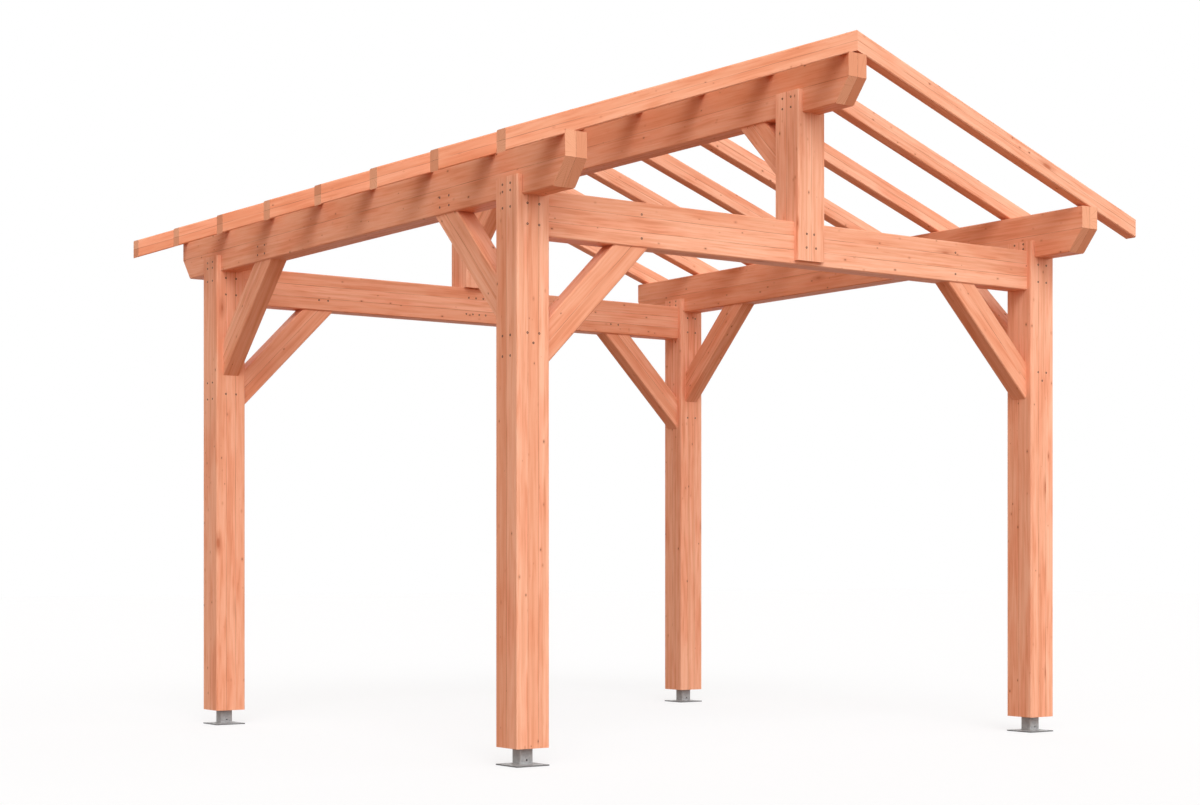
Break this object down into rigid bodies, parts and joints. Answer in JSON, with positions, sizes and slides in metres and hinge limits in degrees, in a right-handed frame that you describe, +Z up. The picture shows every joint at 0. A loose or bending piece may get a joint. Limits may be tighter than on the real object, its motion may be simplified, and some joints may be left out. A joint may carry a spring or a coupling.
{
  "type": "garden pergola",
  "caption": "Open timber pergola on steel feet: forked posts, braced beams and a low gable of rafters over a ridge beam.",
  "frame": {"origin": "middle of the footprint at floor level", "axes": "+Z up, +Y along the ridge from the front gable to the back one, +X along the gable to the right"},
  "size_m": [3.48, 3.34, 2.9895],
  "materials": {
    "post_timber": "satin stain",
    "beam_timber": "satin stain",
    "rafter_timber": "satin stain",
    "brace_timber": "satin stain",
    "zinc_steel": "hot-dip zinc"
  },
  "bodies": {
    "root": {"post_front_left": "post_timber", "foot_front_left": "zinc_steel", "tie_brace_front_left": "brace_timber", "plate_brace_front_left": "brace_timber", "post_front_right": "post_timber", "foot_front_right": "zinc_steel", "tie_brace_front_right": "brace_timber", "plate_brace_front_right": "brace_timber", "post_back_left": "post_timber", "foot_back_left": "zinc_steel", "tie_brace_back_left": "brace_timber", "plate_brace_back_left": "brace_timber", "post_back_right": "post_timber", "foot_back_right": "zinc_steel", "tie_brace_back_right": "brace_timber", "plate_brace_back_right": "brace_timber", "tie_beam_front": "beam_timber", "king_post_front": "post_timber", "ridge_brace_front": "brace_timber", "tie_beam_back": "beam_timber", "king_post_back": "post_timber", "ridge_brace_back": "brace_timber", "plate_beam_left": "beam_timber", "plate_beam_right": "beam_timber", "ridge_beam": "beam_timber", "rafter_left_1": "rafter_timber", "rafter_left_2": "rafter_timber", "rafter_left_3": "rafter_timber", "rafter_left_4": "rafter_timber", "rafter_left_5": "rafter_timber", "rafter_left_6": "rafter_timber", "rafter_left_7": "rafter_timber", "rafter_left_8": "rafter_timber", "rafter_right_1": "rafter_timber", "rafter_right_2": "rafter_timber", "rafter_right_3": "rafter_timber", "rafter_right_4": "rafter_timber", "rafter_right_5": "rafter_timber", "rafter_right_6": "rafter_timber", "rafter_right_7": "rafter_timber", "rafter_right_8": "rafter_timber"}
  },
  "joints": []
}
